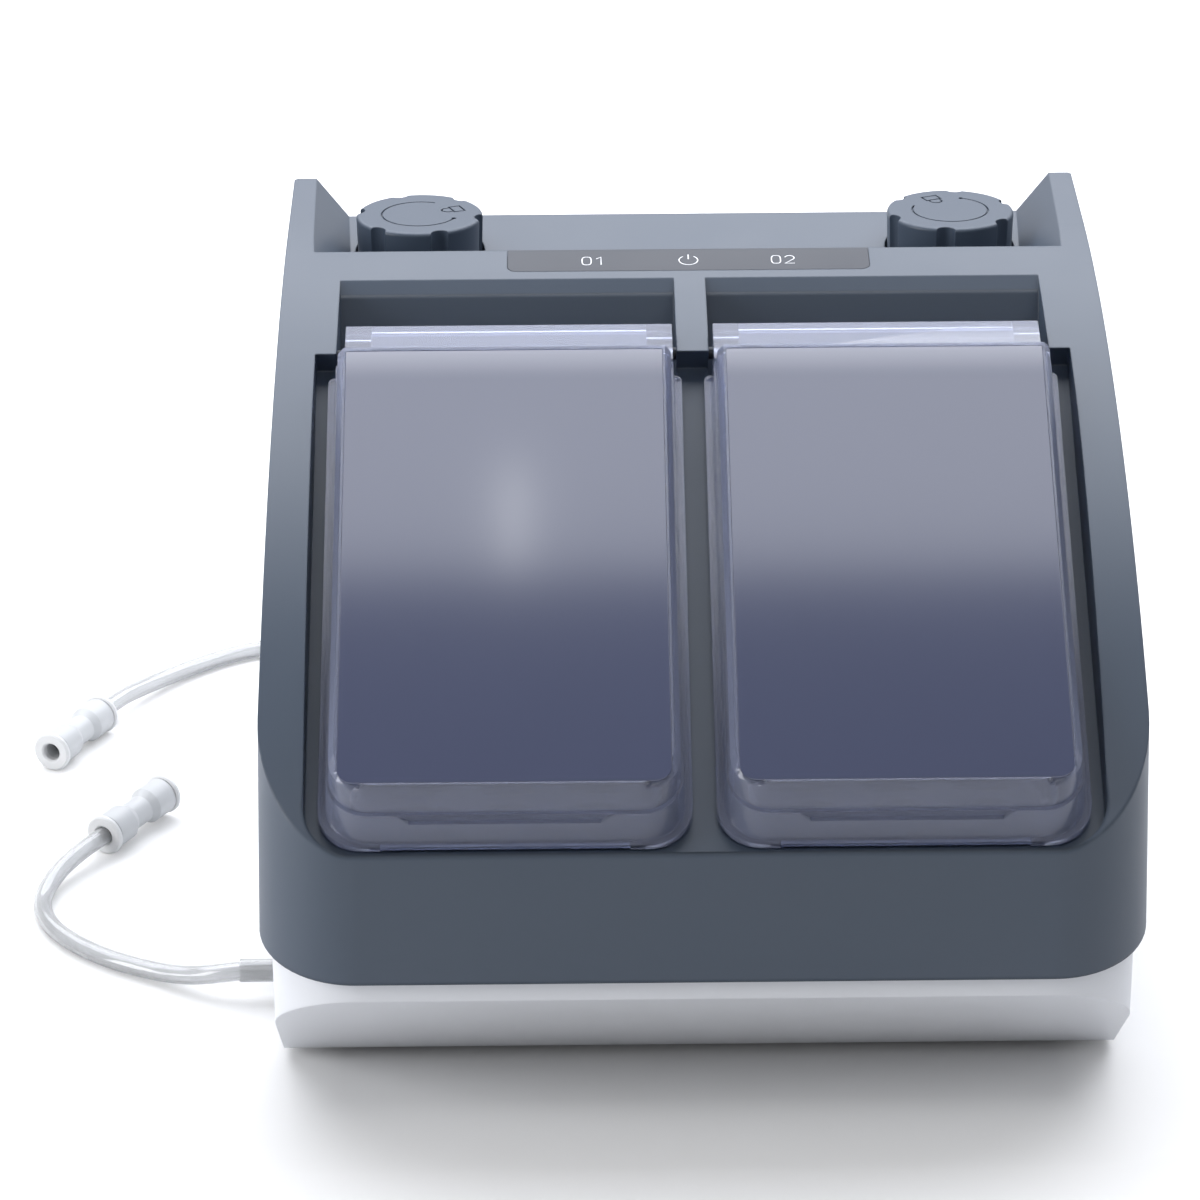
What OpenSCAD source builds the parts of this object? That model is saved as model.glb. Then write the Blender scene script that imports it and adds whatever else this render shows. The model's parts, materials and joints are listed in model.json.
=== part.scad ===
// Two-bay dry block heater: sloped console on a white base, two hinged clear lids,
// two rotary lock knobs in a rear trough, and two gas lines with push-in unions.
// Lengths are millimetres.  Y runs from the front face to the back, Z is up.

/* [Lids] */
// Width of one lid at its flange
lid_w = 110; // [100:1:120]
// Length of one lid along the slope
lid_len = 171; // [160:1:180]
// Height of a lid above its flange face
lid_h = 21; // [18:0.5:24]
// Gap between the two lid flanges
lid_gap = 7; // [6:0.5:10]
// Wall thickness of a lid
lid_wall = 2.2; // [1.6:0.2:3]

/* [Housing] */
// Width of the housing rim beside the lid recess
rim_w = 15.5; // [12:0.5:20]
// Gap between a lid flange and the recess wall
side_gap = 4; // [2:0.5:6]
// Wall thickness of the housing and the base
wall = 3; // [2.5:0.5:4]
// Height of the front rim above the floor
rim_z = 98; // [90:1:110]
// Slope of the lid plane in degrees
slope = 32.5; // [30:0.5:34]
// Radius of the arched top, seen from the side
arc_r = 321; // [310:1:340]
// Slope of the arch at the front rim in degrees
arc_front = 50.8; // [50:0.2:53]
// Slope of the straight tail behind the arch in degrees
arc_tail = 4.3; // [3:0.1:6]
// Plan radius of the front corners
corner_r = 30; // [24:1:34]
// Width of the chamfer on the rear corners, along each side
rear_c = 1; // [0.5:0.5:4]
// Draft of the housing sides in degrees
draft = 1.4; // [1:0.1:1.8]
// Width of the ridge between the lid pockets and the knob trough
ridge_w = 22.5; // [20:0.5:28]
// Depth of the knob trough from the ridge to the rear wall
trough_d = 64.5; // [60:0.5:72]
// Width of the horn beside the trough, at its top
horn_w = 7.5; // [6:0.5:12]

/* [Base] */
// Height of the parting line at the front
part_z = 57; // [54:1:62]
// Rise of the parting line towards the rear in degrees
part_rise = 10; // [6:1:12]
// Height of the crease above the undercut front
crease_z = 50; // [46:1:54]
// Undercut of the front, measured from level, in degrees
under_a = 38.5; // [34:0.5:42]
// Height of the rubber feet below the base
foot_h = 3; // [2:0.5:5]
// Diameter of a rubber foot
foot_d = 16; // [12:1:20]

/* [Knobs] */
// Knob diameter
knob_d = 41.4; // [36:0.2:44]
// Distance of each knob axis from the centre
knob_x = 87; // [84:1:90]
// Distance of the knob axes behind the ridge
knob_back = 34.5; // [32:0.5:37]
// Height of a knob above its seat
knob_h = 15.5; // [13:0.5:18]

/* [Heat blocks] */
// Width of a heat block
block_w = 86; // [82:1:88]
// Depth of a heat block, front to back
block_d = 110; // [104:1:112]
// Height of a heat block
block_h = 38; // [30:1:40]
// Well diameter
well_d = 17; // [12:0.5:19]
// Depth of a well
well_depth = 30; // [20:1:32]

/* [Gas lines] */
// Outer diameter of the gas tube
tube_d = 6; // [5.5:0.5:6.5]
// Length of a push-in union
union_len = 37; // [34:1:42]

/* [Hidden] */

housing_col = [0.52, 0.57, 0.63];
base_col = [0.93, 0.93, 0.95];
clear_col = [0.72, 0.72, 0.82, 0.5];
frost_col = [0.50, 0.50, 0.60, 0.8];
steel_col = [0.75, 0.76, 0.78];
rubber_col = [0.12, 0.12, 0.13];
board_col = [0.10, 0.35, 0.22];
union_col = [0.80, 0.80, 0.79];
big = 500;
tall = 180;

// Hundredths of a millimetre, so that faces meant to meet have exactly equal numbers
function tidy(v) = round(v * 100) / 100;

// --- lid plane and hinge ---
lid_y = 4;
lid_z = rim_z + 0.8;
lid_pitch = lid_w + lid_gap;
recess_x = lid_pitch / 2 + lid_w / 2 + side_gap;
recess_front = -2.2;
recess_rear = lid_len + 5.7;
floor_h = -1;
hinge_v = lid_len + 9.7;
hinge_h = 1.2;
hinge_y = tidy(lid_y + hinge_v * cos(slope) - hinge_h * sin(slope));
hinge_z = tidy(lid_z + hinge_v * sin(slope) + hinge_h * cos(slope));
pin_d = 4;
pin_clear = 0.05;
knuckle_r = 5;
ledge_w = lid_w - 8.4;
ledge_h = 9.5;
ledge_shift = 1.3;
arm_w = 8;
window_t = 0.8;

// --- overall sizes ---
body_w = 2 * (recess_x + rim_w);
pocket_y1 = hinge_y + 29.5;
ridge_y = pocket_y1 + ridge_w;
body_d = ridge_y + trough_d;
base_inset = wall + 0.1;
base_draft = 0.5;
lip_h = 5;
lip_top = ceil(part_z + body_d * tan(part_rise) + lip_h + 5);
port_out = 8;

// --- arched profile: an arc from the rim, then a straight tail ---
arc_cy = tidy(arc_r * sin(arc_front));
arc_cz = tidy(rim_z - arc_r * cos(arc_front));
tail_y = tidy(arc_cy - arc_r * sin(arc_tail));
tail_z = tidy(arc_cz + arc_r * cos(arc_tail));
tail_end = body_d + 30;
function top_z(y) = y < tail_y ? arc_cz + sqrt(arc_r * arc_r - (y - arc_cy) * (y - arc_cy))
                               : tail_z + (y - tail_y) * tan(arc_tail);

// --- pockets and trough ---
pocket_floor = hinge_z - 17;
pocket_c = 2.8;
pocket_lean = 20;
divider_w = lid_gap + 3;
pocket_w = lid_pitch / 2 + lid_w / 2 - 2.6 - divider_w / 2;
pocket_x = divider_w / 2 + pocket_w / 2;
pocket_y0 = tidy(lid_y + (pocket_floor - lid_z - floor_h / cos(slope)) / tan(slope));
trough_front = tidy(top_z(ridge_y) - 15.5);
trough_rise = 6.7;
trough_splay = 2.4;
horn_top = tidy(top_z(body_d - 4));
housing_top = ceil(horn_top + 20);
horn_in = tidy(body_w / 2 - (horn_top - part_z) * tan(draft) - horn_w);
horn_flare = 0.78;

// --- heat bays ---
lid_x = lid_pitch / 2;
bay_w = block_w + 4;
bay_d = block_d + 4;
bay_y = 16;
bay_mid = bay_y + bay_d / 2;
liner_t = 1.5;
gasket_end = lid_len - 16;
mat_t = 1.5;
foam_t = 5;
foam_floor = 7;
foam_top_drop = 5;
block_top = 97;
block_bottom = block_top - block_h;
foam_z0 = block_bottom - liner_t - mat_t - foam_floor;
stand_t = 1.5;
stand_y0 = 80;
stand_len = 48;
well_cols = 3;
well_rows = 4;
well_px = 27;
well_py = 26;

// --- knobs and filters ---
knob_edge = 1.1;
flute_r = 3.2;
flute_depth = 2.4;
knob_ring = knob_d / 2 * 0.61;
mark_line = 0.6;
mark_turn = 32;
engraved = 0.7;
knob_y = ridge_y + knob_back;
knob_rise = 1.1;
seat_z = tidy(top_z(ridge_y) + knob_rise - knob_h);
seat_gap = 0.5;
seat_depth = 1.5;
neck_d = 31;
neck_clear = 0.05;
filter_d = 28;
filter_len = 46;
well_wall = 2;

// --- base, feet and screws ---
foot_x = body_w / 2 - 30;
foot_y0 = tidy(base_inset + (crease_z - foot_h) / tan(under_a) + 14);
foot_y1 = body_d - 24;
boss_x = body_w / 2 - 19;
boss_y0 = foot_y0 + 16;
boss_y1 = body_d - 40;
boss_r = 4.5;
boss_z = foot_h + 17;
screw_d = 4;
screw_head = 7.4;

// --- floor pieces and vents ---
vent_w = 3.6;
vent_len = 34;
floor_z = foot_h + wall;
stand_off = 3;
board_z = floor_z + stand_off;
board_y0 = bay_y + bay_d + 26;
board_y1 = body_d - 38;
board_reach = boss_x - boss_r - 2.5;
psu_w = 88;
psu_x = board_reach - psu_w;
psu_h = 34;
board_w = 92;
board_x = -board_reach;
vent_y0 = stand_y0 + stand_len + 6;
vent_y1 = board_y0 - 4;
post_in = 5;
fix_x = [board_x + post_in, board_x + board_w - post_in, psu_x + post_in, psu_x + psu_w - post_in];
fix_y = [board_y0 + post_in, board_y1 - post_in];

// --- rear panel ---
inlet_x = body_w / 2 - 59;
inlet_z = 52;
inlet_w = 48;
inlet_h = 28;
flange_t = 2.4;
switch_x = inlet_x - 44;
switch_w = 15;
switch_h = 23;
rocker_w = 8;
rocker_half = 7.2;
rocker_tilt = 9;
rocker_sink = 4.6;
pivot_d = 2;
rear_port_x = 45 - body_w / 2;
rear_port_z = 21;
side_port_y = 100;
side_port_z = 10.5;
port_d = 13;
port_tail = 15;
side_port_tail = 9;
side_tail_d = 7.8;
manifold_w = 60;
manifold_d = 15;
rear_y = tidy(body_d - base_inset - (lip_top - foot_h) * tan(base_draft));
side_x = tidy(body_w / 2 - base_inset - (lip_top - side_port_z + port_d / 2) * tan(base_draft));
side_out = 1.6;
port_end = rear_y + port_out;
origin_y = tidy(port_end / 2);

// --- status panel and its board ---
panel_w = 115.8;
panel_d = 14.5;
panel_t = 1.6;
panel_y = ridge_y - panel_d / 2;
led_x = [-30.5, 0, 30.5];
led_d = 3;
led_z = top_z(panel_y) - 12;
led_post_x = 40;
led_board_d = 11;
led_board_y = (pocket_y1 + ridge_y) / 2;

// --- gas lines, centre lines at their real places (front-based) ---
tube_r = tube_d / 2;
tube_gap = 0.1;
sleeve_len = 14;
union_d = 12.5;
collar_d = 13.8;
union_waist = 9.6;
union_stop = 1.5;
collar_len = 2.6;
union_bore = tube_d + 2 * tube_gap;
union_z = collar_d / 2 + 0.1;
upper_union_at = [-206, 307];
upper_union_dir = 246;
lower_union_at = [-197, 206];
union_lift = 1.5;
lower_union_dir = 60;
upper_route = [[rear_port_x, port_end - 12, rear_port_z], [-88, port_end, 21], [-88, 292, 20.6], [-89, 308, 17],
               [-92, 326, 11], [-99, 344, 6], [-110, 359, 3.6], [-126, 370, 3.2], [-144, 373, 3.2],
               [-161, 367, 3.2], [-176, 355, 3.4], [-189, 339, 4.6], [-199, 322, 6.6],
               [-206, 307, union_z], [-211.3, 295.1, union_z]];
lower_route = [[-126, side_port_y, side_port_z], [-135, 100, 10.5], [-146, 100.2, 10], [-154, 102, 8.2],
               [-163, 107, 5.4], [-174, 114, 3.6], [-188, 123, 3.2], [-201, 135, 3.2], [-210, 149, 3.2],
               [-213.6, 165, 3.4], [-210.5, 181, 5], [-204, 194, 6.6],
               [-197, 206, union_z], [-190.5, 217.3, union_z + 0.34]];

// ---------------------------------------------------------------- helpers

module at_origin() {
  translate([0, -origin_y, 0]) children();
}

module on_slope() {
  translate([0, lid_y, lid_z]) rotate([slope, 0, 0]) children();
}

module along_x(x0, x1) {
  translate([x0, 0, 0]) rotate([90, 0, 90]) linear_extrude(x1 - x0) children();
}

module profile_2d() {
  intersection() {
    translate([arc_cy, arc_cz]) circle(arc_r, $fn = 360);
    translate([-20, -60]) square([tail_y + 20, big]);
  }
  polygon([[tail_y, -60], [tail_y, tail_z], [tail_end, top_z(tail_end)], [tail_end, -60]]);
}

module profile_prism(drop) {
  translate([0, 0, -drop]) along_x(-body_w / 2 - 5, body_w / 2 + 5) profile_2d();
}

// Block with drafted sides, round front corners and chamfered rear ones: drawn in by t0 at z0 and by t1 at z1
module drafted_block(z0, z1, t0, t1) {
  half = body_w / 2;
  lean = atan(sqrt(2) * (t1 - t0) / (z1 - z0));
  difference() {
    intersection() {
      union() {
        for (sx = [-1, 1]) {
          translate([sx * (half - corner_r), corner_r, z0])
            cylinder(h = z1 - z0, r1 = corner_r - t0, r2 = corner_r - t1, $fn = 96);
        }
        translate([0, body_d + 5, 0]) rotate([90, 0, 0]) linear_extrude(body_d + 5 - corner_r)
          polygon([[t0 - half, z0], [half - t0, z0], [half - t1, z1], [t1 - half, z1]]);
        along_x(corner_r - half, half - corner_r)
          polygon([[t0, z0], [corner_r + 5, z0], [corner_r + 5, z1], [t1, z1]]);
      }
      along_x(-half - 5, half + 5)
        polygon([[-5, z0 - 5], [body_d - t0 + 5 * (t1 - t0) / (z1 - z0), z0 - 5],
                 [body_d - t1 - 5 * (t1 - t0) / (z1 - z0), z1 + 5], [-5, z1 + 5]]);
    }
    for (sx = [-1, 1]) {
      translate([sx * (half - t0 - rear_c / 2), body_d - t0 - rear_c / 2, z0]) rotate([0, 0, 90 - 45 * sx])
        rotate([0, -lean, 0]) translate([0, -30, -50]) cube([60, 60, z1 - z0 + 100]);
    }
  }
}

// The housing's outline between two heights, drawn in by an inset
module housing_block(inset, z0, z1) {
  drafted_block(z0, z1, tidy(inset + (z0 - part_z) * tan(draft)), tidy(inset + (z1 - part_z) * tan(draft)));
}

// The base's outline up to the top of its lip, narrower towards the floor
module base_block(inset, z0) {
  drafted_block(z0, lip_top, tidy(inset + (lip_top - z0) * tan(base_draft)), inset);
}

// Everything above (up = 1) or below (up = 0) the parting plane raised by lift
module part_side(up, lift) {
  translate([-big / 2, 0, part_z + lift]) rotate([part_rise, 0, 0])
    translate([0, -100, up ? 0 : -big]) cube([big, big + 200, big]);
}

// The space below the undercut front, moved up by lift along its normal
module undercut(lift) {
  translate([-big / 2, base_inset, crease_z]) rotate([-under_a, 0, 0])
    translate([0, -150, -big + lift]) cube([big, big + 150, big]);
}

module rounded(w, v0, v1, r_front, r_back) {
  translate([-w / 2 + r_front, v0 + r_front]) circle(r_front, $fn = 48);
  translate([w / 2 - r_front, v0 + r_front]) circle(r_front, $fn = 48);
  translate([-w / 2 + r_front, v0]) square([w - 2 * r_front, v1 - v0]);
  translate([-w / 2, v0 + r_front]) square([w, v1 - r_back - v0 - r_front]);
  if (r_back > 0) {
    translate([-w / 2 + r_back, v1 - r_back]) circle(r_back, $fn = 48);
    translate([w / 2 - r_back, v1 - r_back]) circle(r_back, $fn = 48);
  }
  translate([-w / 2 + r_back, v1 - 2 * r_back - 1]) square([w - 2 * r_back, 2 * r_back + 1]);
}

module slab(h0, h1) {
  translate([0, 0, h0]) linear_extrude(h1 - h0) children();
}

// ---------------------------------------------------------------- housing

module housing_outer() {
  intersection() {
    profile_prism(0);
    housing_block(0, part_z, housing_top);
    part_side(1, 0);
  }
}

module recess_volume(grow) {
  on_slope() slab(floor_h - grow, 90)
    rounded(2 * (recess_x + grow), recess_front - grow, recess_rear + grow, 14, 0.6);
}

// Finger pocket behind a lid: its rear wall leans back up to the ridge
module pocket_volume(side, grow) {
  edge_z = tidy(top_z(pocket_y1));
  wall_y = pocket_y1 + grow / cos(pocket_lean);
  along_x(side * pocket_x - pocket_w / 2 - grow, side * pocket_x + pocket_w / 2 + grow)
    polygon([[pocket_y0 - grow, pocket_floor - grow],
             [wall_y - (edge_z - pocket_floor + grow) * tan(pocket_lean), pocket_floor - grow],
             [wall_y, edge_z], [wall_y, edge_z + 60], [pocket_y0 - grow, edge_z + 60]]);
}

// Chamfer along the rear top edge of both pockets
module pocket_chamfer() {
  edge_z = top_z(pocket_y1);
  for (side = [-1, 1]) {
    along_x(side * pocket_x - pocket_w / 2, side * pocket_x + pocket_w / 2)
      polygon([[pocket_y1 - 1, edge_z - pocket_c - 1], [pocket_y1 + pocket_c + 3, edge_z + 3],
               [pocket_y1 - 1, edge_z + 3]]);
  }
}

module trough_2d(grow) {
  foot = horn_in - (horn_top - trough_front + 20) * horn_flare;
  polygon([[-foot - grow, trough_front - 20], [foot + grow, trough_front - 20],
           [horn_in + 40 * horn_flare + grow, horn_top + 40], [-horn_in - 40 * horn_flare - grow, horn_top + 40]]);
}

module trough_volume(grow) {
  intersection() {
    hull() {
      translate([0, body_d + 40, 0]) rotate([90, 0, 0]) linear_extrude(1) trough_2d(grow - trough_splay * 40 / trough_d);
      translate([0, ridge_y - grow + 1, 0]) rotate([90, 0, 0]) linear_extrude(1) trough_2d(grow + trough_splay);
    }
    translate([-big / 2, ridge_y - grow, trough_front]) rotate([trough_rise, 0, 0])
      translate([0, -50, -grow]) cube([big, big, 100]);
  }
}

module bay_opening(grow, z0) {
  for (side = [-1, 1]) {
    translate([side * lid_x, bay_y - grow, z0]) linear_extrude(tall)
      rounded(bay_w + 2 * grow, 0, bay_d + 2 * grow, 6, 6);
  }
}

module boss_points() {
  for (sx = [-1, 1], y = [boss_y0, boss_y1]) {
    translate([sx * boss_x, y, 0]) children();
  }
}

module panel_plan(grow) {
  slab(0, 260) rounded(panel_w + 2 * grow, ridge_y - panel_d - grow, ridge_y, 3, 0);
}

module knob_seat(r) {
  translate([0, 0, seat_z - seat_depth]) cylinder(h = 60, r = r, $fn = 64);
}

module housing_vents() {
  for (i = [-6:6]) {
    translate([i * 9 - 30, body_d - 12, 128]) rounded_slot();
  }
}

module rounded_slot() {
  rotate([-90, 0, 0]) cylinder(h = 20, d = vent_w, $fn = 24);
  translate([-vent_w / 2, 0, 0]) cube([vent_w, 20, vent_len]);
  translate([0, 0, vent_len]) rotate([-90, 0, 0]) cylinder(h = 20, d = vent_w, $fn = 24);
}

module top_housing() {
  color(housing_col) at_origin() difference() {
    union() {
      housing_outer();
      boss_points() translate([0, 0, boss_z]) cylinder(h = 100, r = boss_r, $fn = 32);
    }
    intersection() {
      difference() {
        base_block(wall, foot_h);
        boss_points() cylinder(h = 300, r = boss_r, $fn = 32);
      }
      part_side(0, lip_h + 0.5);
    }
    difference() {
      intersection() {
        profile_prism(wall);
        housing_block(wall, part_z - 5, housing_top);
      }
      recess_volume(wall);
      pocket_volume(-1, wall);
      pocket_volume(1, wall);
      trough_volume(wall);
      hinge_axis_x(recess_x + 6) cylinder(h = 2 * (recess_x + 6), r = knuckle_r + 1, $fn = 48);
      boss_points() cylinder(h = 300, r = boss_r, $fn = 32);
      for (x = [-led_post_x, led_post_x]) {
        translate([x, led_board_y, led_z + 1.6]) cylinder(h = 60, r = 2.6, $fn = 24);
      }
      for (sx = [-1, 1]) {
        translate([sx * knob_x, knob_y, seat_z - seat_depth - wall])
          cylinder(h = 30, d = knob_d + 2 * seat_gap + 2 * wall, $fn = 64);
      }
    }
    recess_volume(0);
    pocket_volume(-1, 0);
    pocket_volume(1, 0);
    pocket_chamfer();
    trough_volume(0);
    bay_opening(0.5, 60);
    gasket_rings(0, -2);
    intersection() {
      profile_prism(-10);
      difference() {
        panel_plan(0);
        profile_prism(panel_t);
      }
    }
    for (sx = [-1, 1]) {
      translate([sx * knob_x, knob_y, 0]) {
        knob_seat(knob_d / 2 + seat_gap);
        cylinder(h = 260, d = filter_d + 2 * well_wall + 2, $fn = 64);
      }
    }
    hinge_axis_x(recess_x - 1) cylinder(h = 2 * (recess_x - 1), d = pin_d, $fn = 32);
    boss_points() translate([0, 0, boss_z - 1]) cylinder(h = 16, d = screw_d, $fn = 24);
    housing_vents();
    indicator_holes();
  }
}

module indicator_holes() {
  for (x = led_x) {
    translate([x, panel_y, 150]) cylinder(h = 80, d = led_d + 1, $fn = 24);
  }
}

// Turns children so that their Z runs along X through the hinge axis, from -x0
module hinge_axis_x(x0) {
  translate([-x0, hinge_y, hinge_z]) rotate([0, 90, 0]) children();
}

module status_panel() {
  color([0.50, 0.52, 0.57]) at_origin() difference() {
    intersection() {
      profile_prism(0);
      panel_plan(-0.1);
    }
    profile_prism(panel_t);
  }
}

module indicator_board() {
  color(board_col) at_origin() {
    difference() {
      translate([-led_post_x - 5, led_board_y - led_board_d / 2, led_z]) cube([2 * led_post_x + 10, led_board_d, 1.6]);
      for (x = [-led_post_x, led_post_x]) {
        translate([x, led_board_y, led_z - 1]) cylinder(h = 4, d = 3.2, $fn = 24);
      }
    }
    for (x = led_x) {
      translate([x, panel_y, led_z + 1.5]) cylinder(h = 6, d = led_d, $fn = 24);
    }
  }
}

// ---------------------------------------------------------------- base

module base_shell() {
  color(base_col) at_origin() difference() {
    union() {
      difference() {
        intersection() {
          base_block(base_inset, foot_h);
          part_side(0, lip_h);
        }
        undercut(0);
        difference() {
          base_block(base_inset + wall, floor_z);
          undercut(wall);
        }
      }
      boss_points() translate([0, 0, foot_h + 0.5]) cylinder(h = boss_z - foot_h - 0.5, r = boss_r + 1, $fn = 32);
      for (x = fix_x, y = fix_y) {
        translate([x, y, foot_h + 0.5]) cylinder(h = board_z - foot_h - 0.5, r = 4, $fn = 24);
      }
    }
    boss_points() {
      translate([0, 0, 0]) cylinder(h = boss_z + 1, d = screw_d + 0.4, $fn = 24);
      translate([0, 0, 0]) cylinder(h = foot_h + 4, d = screw_head + 1, $fn = 32);
    }
    for (sx = [-1, 1], y = [foot_y0, foot_y1]) {
      translate([sx * foot_x, y, foot_h - 1]) cylinder(h = 2, d = foot_d, $fn = 48);
    }
    rear_cut(inlet_x, inlet_z, inlet_w - 6, inlet_h - 6, 30);
    rear_cut(inlet_x, inlet_z, inlet_w + 2, inlet_h + 2, 0);
    rear_cut(switch_x, inlet_z, switch_w - 3, switch_h - 3, 30);
    rear_cut(switch_x, inlet_z, switch_w + 2, switch_h + 2, 0);
    translate([rear_port_x, rear_y - 10, rear_port_z]) rotate([-90, 0, 0]) cylinder(h = 30, d = port_d - 3, $fn = 48);
    translate([rear_port_x, rear_y, rear_port_z]) rotate([-90, 0, 0]) cylinder(h = 20, d = port_d + 1, $fn = 48);
    translate([-side_x + 10, side_port_y, side_port_z]) rotate([0, -90, 0]) cylinder(h = 20, d = side_tail_d + 0.2, $fn = 48);
    translate([-side_x, side_port_y, side_port_z]) rotate([0, -90, 0]) cylinder(h = 20, d = port_d - 1, $fn = 48);
    for (i = [-5:5]) {
      translate([i * 12, 0, foot_h - 1]) floor_slot();
    }
  }
}

module floor_slot() {
  translate([0, vent_y0, 0]) cylinder(h = wall + 2, d = vent_w, $fn = 24);
  translate([-vent_w / 2, vent_y0, 0]) cube([vent_w, vent_y1 - vent_y0, wall + 2]);
  translate([0, vent_y1, 0]) cylinder(h = wall + 2, d = vent_w, $fn = 24);
}

// A square cut through the rear wall, or a shallow flat on it when deep is 0
module rear_cut(x, z, w, h, deep) {
  translate([x - w / 2, rear_y - deep, z - h / 2]) cube([w, deep + 20, h]);
}

module rubber_feet() {
  color(rubber_col) at_origin() for (sx = [-1, 1], y = [foot_y0, foot_y1]) {
    translate([sx * foot_x, y, 0]) rotate_extrude($fn = 48)
      polygon([[0, 0], [foot_d / 2 - 1.5, 0], [foot_d / 2 - 0.2, 1.3], [foot_d / 2 - 0.2, foot_h + 1],
               [0, foot_h + 1]]);
  }
}

module case_screws() {
  color(steel_col) at_origin() boss_points() {
    difference() {
      translate([0, 0, foot_h + 1.2]) cylinder(h = 2.8, d = screw_head, $fn = 32);
      translate([0, 0, foot_h + 1]) cylinder(h = 1.8, d = 3.2, $fn = 6);
    }
    translate([0, 0, foot_h + 3.9]) cylinder(h = boss_z + 10 - foot_h, d = screw_d - 0.1, $fn = 24);
  }
}

// ---------------------------------------------------------------- heat bays

module gasket_rings(shrink, h0) {
  for (side = [-1, 1]) {
    translate([side * lid_x, 0, 0]) gasket_ring(shrink, h0, 30);
  }
}

module gasket_ring(shrink, h0, h1) {
  on_slope() intersection() {
    slab(h0, h1) difference() {
      rounded(lid_w - 2 - 2 * shrink, 1 + shrink, gasket_end - shrink, 11, 6);
      rounded(lid_w - 8 + 2 * shrink, 4 - shrink, gasket_end - 3 + shrink, 9, 4);
    }
    slab(h0, floor_h + 1) rounded(lid_w + 10, -5, lid_len + 10, 3, 3);
  }
}

module gasket(side) {
  color([0.22, 0.23, 0.26]) at_origin() translate([side * lid_x, 0, 0]) intersection() {
    gasket_ring(0.1, -2, 30);
    on_slope() slab(-3, -0.35) rounded(lid_w + 10, -5, lid_len + 10, 3, 3);
  }
}

module bay_liner(side) {
  color(steel_col) at_origin() difference() {
    translate([side * lid_x, bay_y, block_bottom - liner_t]) linear_extrude(tall)
      rounded(bay_w, 0, bay_d, 6, 6);
    translate([side * lid_x, bay_y + liner_t, block_bottom]) linear_extrude(tall)
      rounded(bay_w - 2 * liner_t, 0, bay_d - 2 * liner_t, 4.5, 4.5);
    on_slope() slab(floor_h, 200) translate([-big / 2, -60]) square([big, big]);
  }
}

module heat_block(side) {
  color([0.62, 0.63, 0.65]) at_origin() difference() {
    translate([side * lid_x, bay_mid - block_d / 2, block_bottom]) linear_extrude(block_h)
      rounded(block_w, 0, block_d, 4, 4);
    for (i = [0:well_cols - 1], j = [0:well_rows - 1]) {
      translate([side * lid_x + (i - (well_cols - 1) / 2) * well_px, bay_mid + (j - (well_rows - 1) / 2) * well_py,
                 block_top - well_depth]) cylinder(h = well_depth + 1, d = well_d, $fn = 48);
    }
    translate([side * lid_x, bay_mid + block_d / 2 - 24, block_bottom + 3.2]) rotate([-90, 0, 0])
      cylinder(h = 30, d = 4, $fn = 24);
  }
}

module heater_mat(side) {
  color([0.80, 0.45, 0.15]) at_origin()
    translate([side * lid_x, bay_y + 4, block_bottom - liner_t - mat_t]) linear_extrude(mat_t)
      rounded(bay_w - 8, 0, bay_d - 8, 4, 4);
}

module insulation(side) {
  color([0.88, 0.87, 0.80]) at_origin() difference() {
    translate([side * lid_x, bay_y - foam_t, foam_z0]) linear_extrude(tall)
      rounded(bay_w + 2 * foam_t, 0, bay_d + 2 * foam_t, 8, 8);
    translate([side * lid_x, bay_y - 0.2, block_bottom - liner_t - mat_t]) linear_extrude(tall)
      rounded(bay_w + 0.4, 0, bay_d + 0.4, 6.2, 6.2);
    translate([side * lid_x, bay_y + bay_d - 10, block_bottom + 3]) rotate([-90, 0, 0])
      cylinder(h = 30, d = 5, $fn = 24);
    translate([side * lid_x + 20, bay_mid, foam_z0 - 1]) cylinder(h = 20, d = 15, $fn = 32);
    on_slope() slab(floor_h - foam_top_drop, 200) translate([-big / 2, -60]) square([big, big]);
    undercut(wall + 1);
  }
}

module sensor(side) {
  color(steel_col) at_origin() {
    translate([side * lid_x, bay_mid + block_d / 2 - 22, block_bottom + 3.2]) rotate([-90, 0, 0])
      cylinder(h = 21, d = 3.6, $fn = 24);
  }
}

module cutout(side) {
  color([0.15, 0.15, 0.17]) at_origin() translate([side * lid_x + 20, bay_mid, foam_z0 + foam_floor]) rotate([180, 0, 0]) {
    cylinder(h = 2, d = 14, $fn = 32);
    cylinder(h = 6, d = 10, $fn = 32);
    for (x = [-3, 3]) {
      translate([x - 1.2, -0.3, 5]) cube([2.4, 0.6, 7]);
    }
  }
}

// Folded sheet stand that carries the insulated block above the base floor
module block_stand(side) {
  w = block_w - 10;
  color(steel_col) at_origin() translate([side * lid_x, stand_y0, floor_z]) difference() {
    union() {
      translate([-w / 2, 0, foam_z0 - floor_z - stand_t]) cube([w, stand_len, stand_t]);
      for (sx = [-1, 1]) {
        translate([sx * (w - stand_t) / 2 - stand_t / 2, 0, 0]) cube([stand_t, stand_len, foam_z0 - floor_z]);
        translate([sx * (w / 2 - 6) - 6, 0, 0]) cube([12, stand_len, stand_t]);
      }
    }
    translate([20, bay_mid - stand_y0, 10]) cylinder(h = 60, d = 18, $fn = 32);
    for (sx = [-1, 1], y = [10, stand_len - 10]) {
      translate([sx * (w / 2 - 7), y, -1]) cylinder(h = 4, d = 4, $fn = 24);
    }
  }
}

// ---------------------------------------------------------------- lids

module lid_plan(w, v0, v1, r) {
  rounded(w, v0, v1, r, 0.6);
}

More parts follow.
